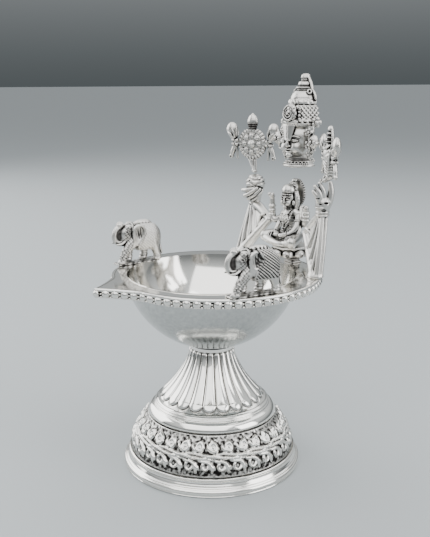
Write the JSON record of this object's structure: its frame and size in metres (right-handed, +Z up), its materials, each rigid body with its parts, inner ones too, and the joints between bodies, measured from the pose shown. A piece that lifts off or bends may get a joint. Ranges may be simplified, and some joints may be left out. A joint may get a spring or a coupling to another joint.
{
  "type": "figural oil lamp",
  "caption": "Silver pedestal oil lamp: chased domed foot, fluted stem, spouted bowl with ornate rim, and cast elephants, raised arms, emblems, crowned head and seated figure.",
  "frame": {"origin": "middle of the flat face under the foot, on the axis of foot, stem and bowl", "axes": "+Z up along the stem; -Y towards the pointed spout, which is the way the figures face; the head, arms and emblems stand at +Y, with the discus at -X and the conch at +X"},
  "size_m": [0.081, 0.0936, 0.1503],
  "materials": {
    "polished_silver": "spun silver sheet, polished to a mirror",
    "oxidised_silver": "cast or chased silver, bright on the high places and oxidised dark in the hollows",
    "plain_silver": "plain silver, unpolished underside and screw"
  },
  "bodies": {
    "pedestal": {"foot_plate": "plain_silver", "foot_flange": "polished_silver", "embossed_band": "oxidised_silver", "foot_moulding": "polished_silver", "fluted_stem": "polished_silver", "stem_bush": "plain_silver"},
    "bowl_unit": {"bowl_stud": "plain_silver", "bowl": "polished_silver", "rim_border": "oxidised_silver", "elephant_base_left": "oxidised_silver", "elephant_left": "oxidised_silver", "elephant_base_right": "oxidised_silver", "elephant_right": "oxidised_silver", "arm_left": "oxidised_silver", "arm_right": "oxidised_silver", "hand_left": "oxidised_silver", "hand_right": "oxidised_silver", "chakra_stem": "oxidised_silver", "conch_stem": "oxidised_silver", "chakra": "oxidised_silver", "conch": "oxidised_silver", "deity_head": "oxidised_silver", "crown": "oxidised_silver", "ear_ornament_left": "oxidised_silver", "ear_ornament_right": "oxidised_silver", "necklace": "oxidised_silver", "seat_bracket": "oxidised_silver", "lotus_seat": "oxidised_silver", "goddess_figure": "oxidised_silver", "goddess_crown": "oxidised_silver", "goddess_halo": "oxidised_silver"}
  },
  "joints": [
    {"name": "bowl_screw", "type": "hinge", "parent": "pedestal", "child": "bowl_unit", "pos_m": [0, 0, 0.0476], "axis": [0, 0, 1], "range_deg": [0, 900]}
  ]
}
